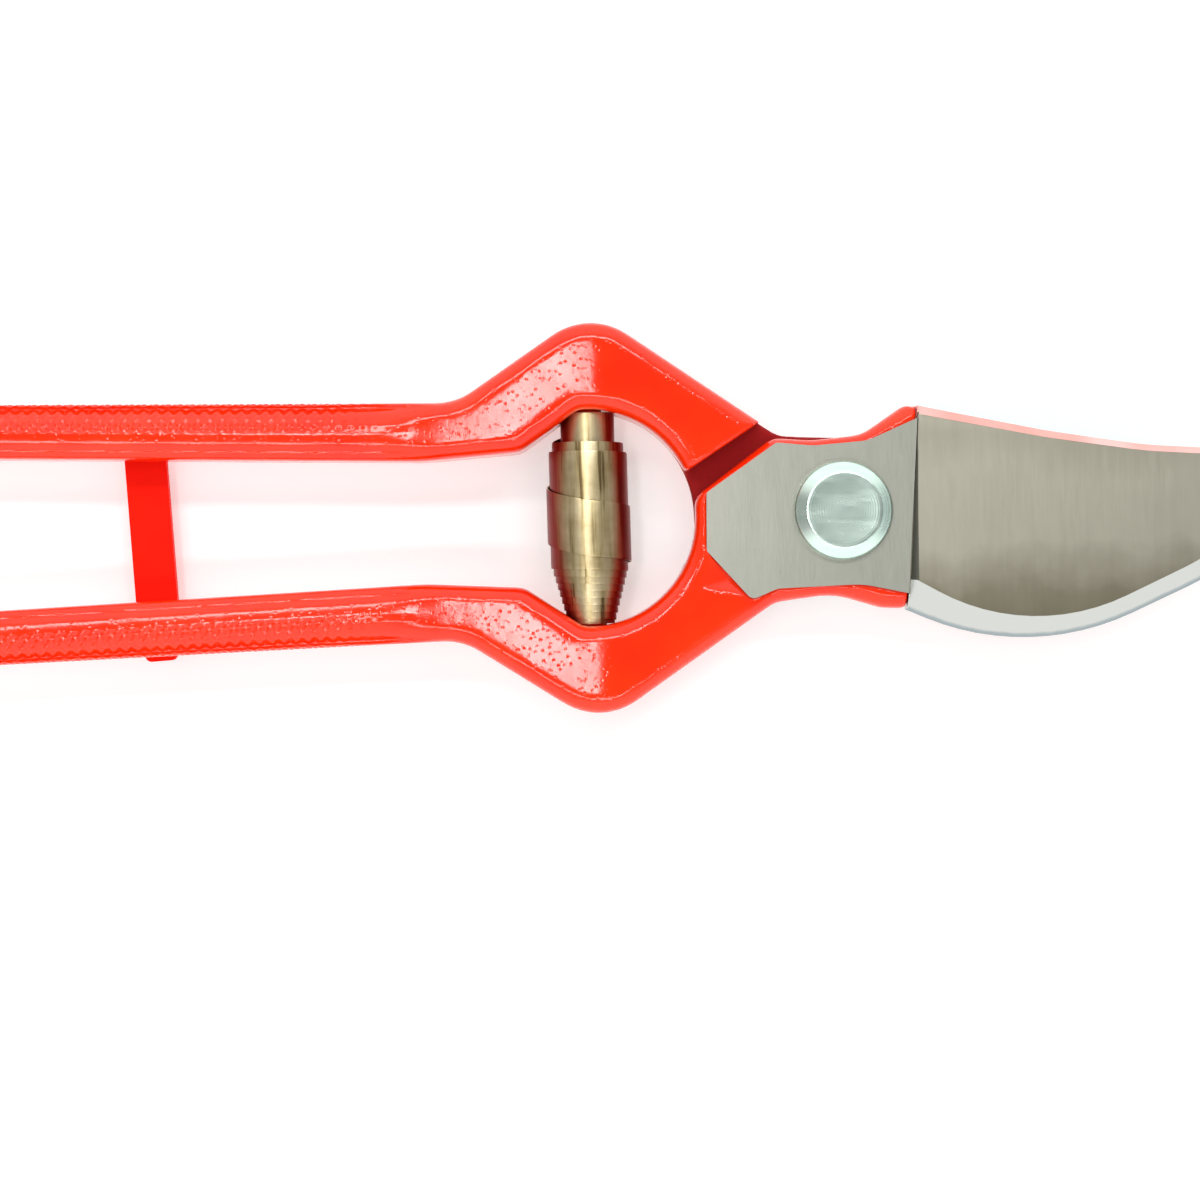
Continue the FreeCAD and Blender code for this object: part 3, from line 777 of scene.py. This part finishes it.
def studio_world():
    """Bright walls beyond +Y and -Y, duller ones beyond the ends, and a dark ceiling round the camera."""
    world = bpy.data.worlds.new("studio")
    world.use_nodes = True
    tree = world.node_tree
    direction = add(tree, "TexCoord").outputs["Generated"]
    aside = calculated(tree, "ABSOLUTE", along_axis(tree, direction, "Y"))
    walls = add(tree, "MapRange", {"Value": aside}, {"From Min": 0.32, "From Max": 0.74},
                interpolation_type="SMOOTHSTEP").outputs["Result"]
    ends = ramp(tree, along_axis(tree, direction, "Z"), [
        (0.0, grey(0.34)), (0.5, grey(0.26)), (0.85, grey(0.2)), (0.97, grey(0.13)),
    ])
    light = mixed(tree, {"Factor": walls, "A": ends}, {"B": (1, 1, 1, 1)})
    back = tree.nodes["Background"]
    back.inputs["Strength"].default_value = WORLD_STRENGTH
    tree.links.new(light, back.inputs["Color"])
    bpy.context.scene.world = world
    bpy.context.scene.view_settings.view_transform = "Standard"


LENS = 85
SENSOR = 36
CAMERA_ASIDE = (-35.05 * MM, -11.81 * MM)    # from the pivot to the middle of the picture
CAMERA_HEIGHT = 405 * MM                     # above the ground pad
CAMERA_ROLL = math.radians(-1.63)


def camera():
    """Straight above, rolled a little, framed as the tool lies in the picture."""
    data = bpy.data.cameras.new("camera")
    data.lens = LENS
    data.sensor_width = SENSOR
    view = bpy.data.objects.new("camera", data)
    aside_x, aside_y = CAMERA_ASIDE
    view.location = (PIVOT.x + aside_x, PIVOT.y + aside_y, PIVOT.z + PAD_TOP + CAMERA_HEIGHT)
    view.rotation_euler = (0, 0, CAMERA_ROLL)
    bpy.context.scene.collection.objects.link(view)
    bpy.context.scene.camera = view


# ---------------------------------------------------------------- the tool, piece by piece

RED = paint_material("red_paint", (0.88, 0.020, 0.001), (0.97, 0.034, 0.002), 0.035 * MM, 0.05, 0.42)
# Pale pink paint for the spine's sloping faces: thin paint, its pale colour a painted highlight.
SPINE_SHEEN_RED = paint_material("spine_paint_sheen", (0.90, 0.30, 0.25), (0.93, 0.50, 0.46), 0.02 * MM, 0.12, 0.5)
# The catch's paint is the halves' red made deeper: painted shade, as it lies low between the handles.
CATCH_SHADED_RED = paint_material("catch_paint", (0.85, 0.006, 0.0005), (0.96, 0.012, 0.001), 0.012 * MM, 0.4, 0.05)
PAD_STEEL = steel_material("ground_steel", (0.36, 0.365, 0.315), (0.31, 0.315, 0.27), 0.36, 0.006 * MM, 0.2)
BEVEL_STEEL = bevel_material()
# Dark steel for the hollow at the foot of the step: painted shade and dark reflection there.
STEP_SHADE_STEEL = steel_material("step_shade_steel", (0.17, 0.165, 0.135), (0.10, 0.10, 0.08), 0.5, 0.01 * MM, 0.4)
BLADE_STEEL = blade_material()
ZINC = zinc_material()
SPRING_STEEL = spring_material()

painted_forging("hook_half", 1, "hook_body", Vector((HOOK_PAINTED_TO, 0, 0)), Vector((1, 0, 0)), RED)
painted_forging("blade_half", -1, "blade_body", STEP_FOOT - STEP_SIDE * 0.15 * MM, STEP_SIDE, RED)
blade_piece(RED, SPINE_SHEEN_RED, BLADE_STEEL, BEVEL_STEEL)
step_fillet(STEP_SHADE_STEEL)
hook_piece(RED, PAD_STEEL)
pad_piece("blade_half", "boss_pad", 1, "blade_body", PAD_STEEL)
pad_piece("hook_half", "back_pad", -1, "hook_body", PAD_STEEL)
pivot_bolt(ZINC)
volute_spring(SPRING_STEEL)
dress_node("lock_washer", ZINC, 0.12 * MM)
dress_node("pivot_nut", ZINC, 0.35 * MM)
dress_node("spring_peg_upper", RED, 0.3 * MM)
dress_node("spring_peg_lower", RED, 0.3 * MM)
dress_node("catch_strap", CATCH_SHADED_RED, 0.7 * MM)
dress_node("catch_rivet", CATCH_SHADED_RED, 0.1 * MM)
dress_node("keeper_stud", CATCH_SHADED_RED, 0.1 * MM)
stage()
camera()
